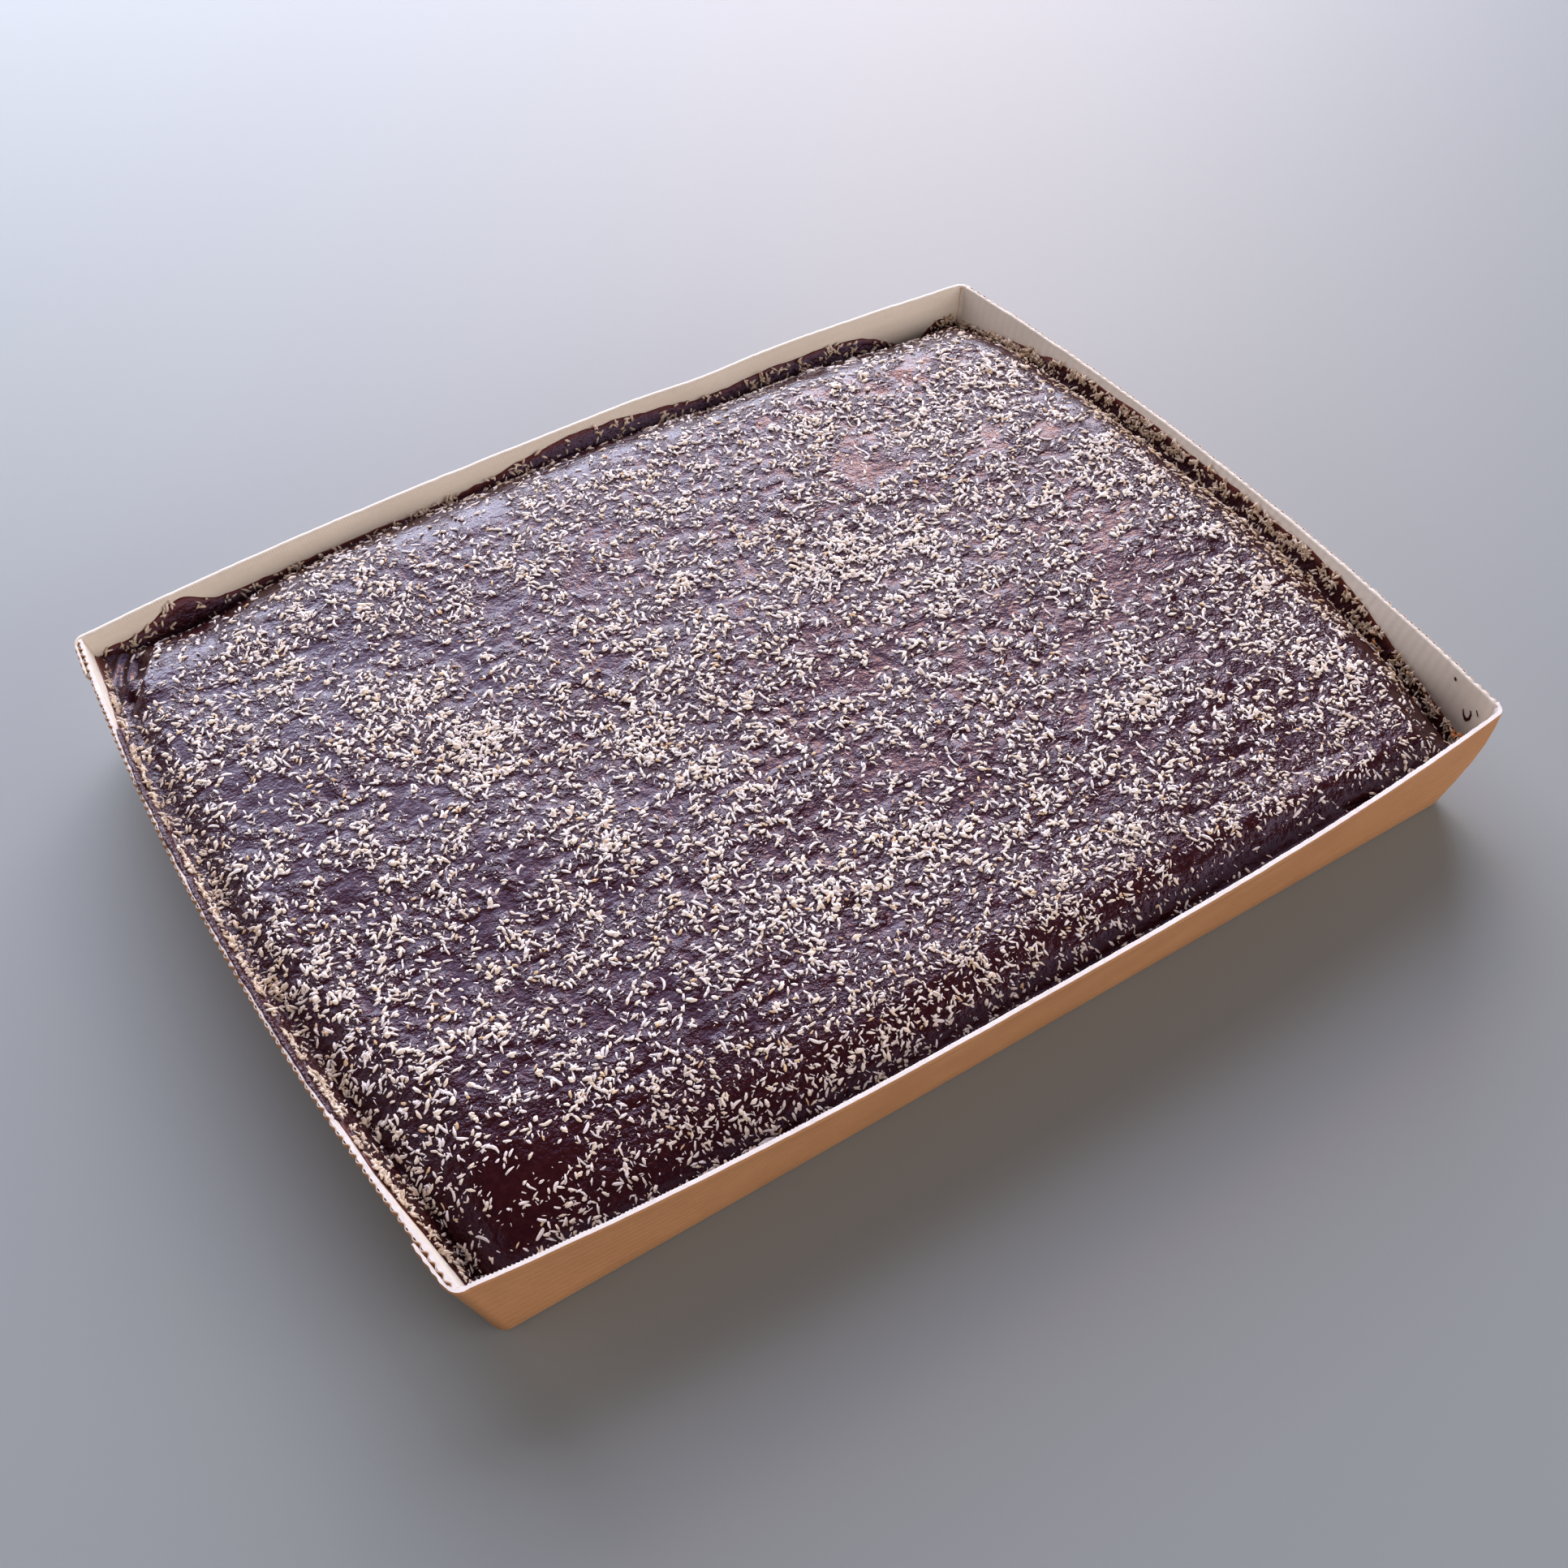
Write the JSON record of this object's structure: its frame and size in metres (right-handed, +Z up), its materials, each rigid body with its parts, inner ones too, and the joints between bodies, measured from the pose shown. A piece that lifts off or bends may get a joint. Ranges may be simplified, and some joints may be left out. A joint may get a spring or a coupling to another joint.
{
  "type": "sheet cake",
  "caption": "Uncut rectangular sheet cake with dark chocolate frosting and a coconut sprinkle, in a shallow flared corrugated board tray.",
  "frame": {"origin": "middle of the tray's base, on the surface that it stands on", "axes": "+X along the long side, +Y from the front wall to the back wall, +Z up"},
  "size_m": [0.3456, 0.2756, 0.0399],
  "materials": {
    "board": "matte kraft outside, white-lined inside and on the cut edges",
    "frosting": "soft glossy dark chocolate frosting",
    "coconut": "matte cream-white desiccated coconut, toasted here and there"
  },
  "bodies": {
    "root": {"tray": "board", "frosted_cake": "frosting"}
  },
  "joints": []
}
